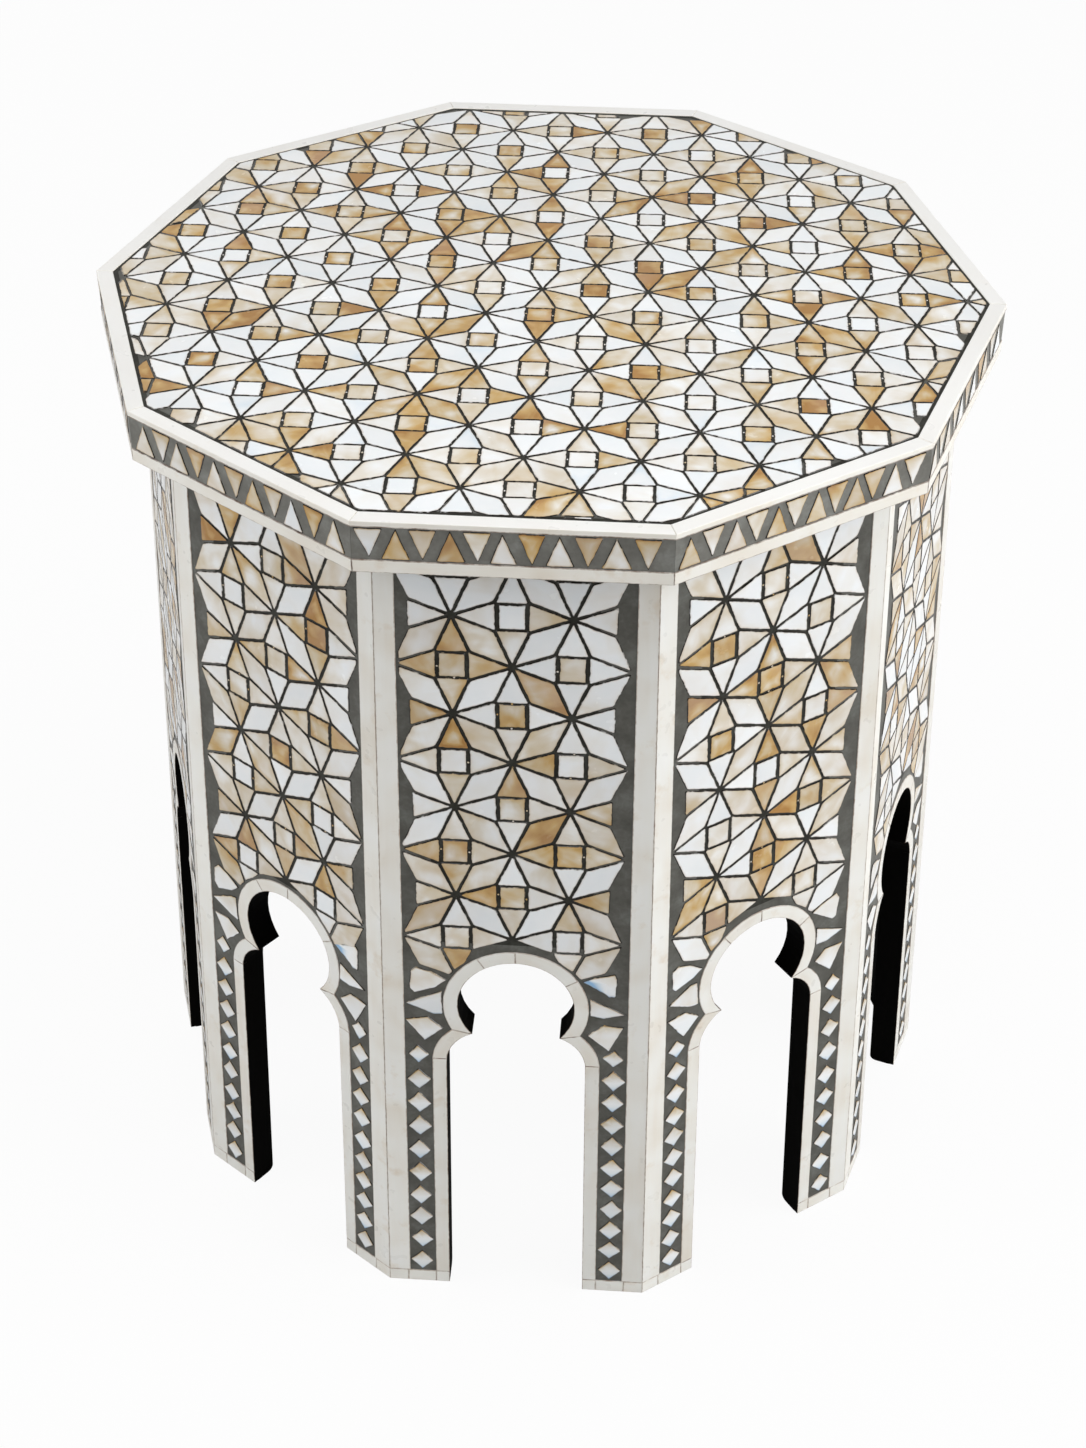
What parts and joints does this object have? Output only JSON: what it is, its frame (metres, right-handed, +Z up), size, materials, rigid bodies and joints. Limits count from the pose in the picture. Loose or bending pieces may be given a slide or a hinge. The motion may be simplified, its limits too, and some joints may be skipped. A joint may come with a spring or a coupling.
{
  "type": "inlaid side table",
  "caption": "Many-sided inlaid side table or stool on arched panel legs, for holding a tray or a lamp or as a low seat.",
  "frame": {"origin": "centre of the footprint, on the floor", "axes": "+Z up; one flat side and its arch face -Y; +X to the right seen from the front"},
  "size_m": [0.4808, 0.4574, 0.534],
  "materials": {
    "black_wood": "painted black, satin",
    "bone": "polished bone strip, faint beige clouding",
    "pearl_mosaic": "polished pearl shell tiles, white to golden, set in dark grey resin"
  },
  "bodies": {
    "root": {"top_board": "black_wood", "top_field": "pearl_mosaic", "top_border": "bone", "rim_field": "pearl_mosaic", "rim_strip": "bone", "side_board_01": "black_wood", "side_field_01": "pearl_mosaic", "arch_trim_01": "bone", "corner_strip_01_left": "bone", "corner_strip_01_right": "bone", "side_board_02": "black_wood", "side_field_02": "pearl_mosaic", "arch_trim_02": "bone", "corner_strip_02_left": "bone", "corner_strip_02_right": "bone", "side_board_03": "black_wood", "side_field_03": "pearl_mosaic", "arch_trim_03": "bone", "corner_strip_03_left": "bone", "corner_strip_03_right": "bone", "side_board_04": "black_wood", "side_field_04": "pearl_mosaic", "arch_trim_04": "bone", "corner_strip_04_left": "bone", "corner_strip_04_right": "bone", "side_board_05": "black_wood", "side_field_05": "pearl_mosaic", "arch_trim_05": "bone", "corner_strip_05_left": "bone", "corner_strip_05_right": "bone", "side_board_06": "black_wood", "side_field_06": "pearl_mosaic", "arch_trim_06": "bone", "corner_strip_06_left": "bone", "corner_strip_06_right": "bone", "side_board_07": "black_wood", "side_field_07": "pearl_mosaic", "arch_trim_07": "bone", "corner_strip_07_left": "bone", "corner_strip_07_right": "bone", "side_board_08": "black_wood", "side_field_08": "pearl_mosaic", "arch_trim_08": "bone", "corner_strip_08_left": "bone", "corner_strip_08_right": "bone", "side_board_09": "black_wood", "side_field_09": "pearl_mosaic", "arch_trim_09": "bone", "corner_strip_09_left": "bone", "corner_strip_09_right": "bone", "side_board_10": "black_wood", "side_field_10": "pearl_mosaic", "arch_trim_10": "bone", "corner_strip_10_left": "bone", "corner_strip_10_right": "bone"}
  },
  "joints": []
}
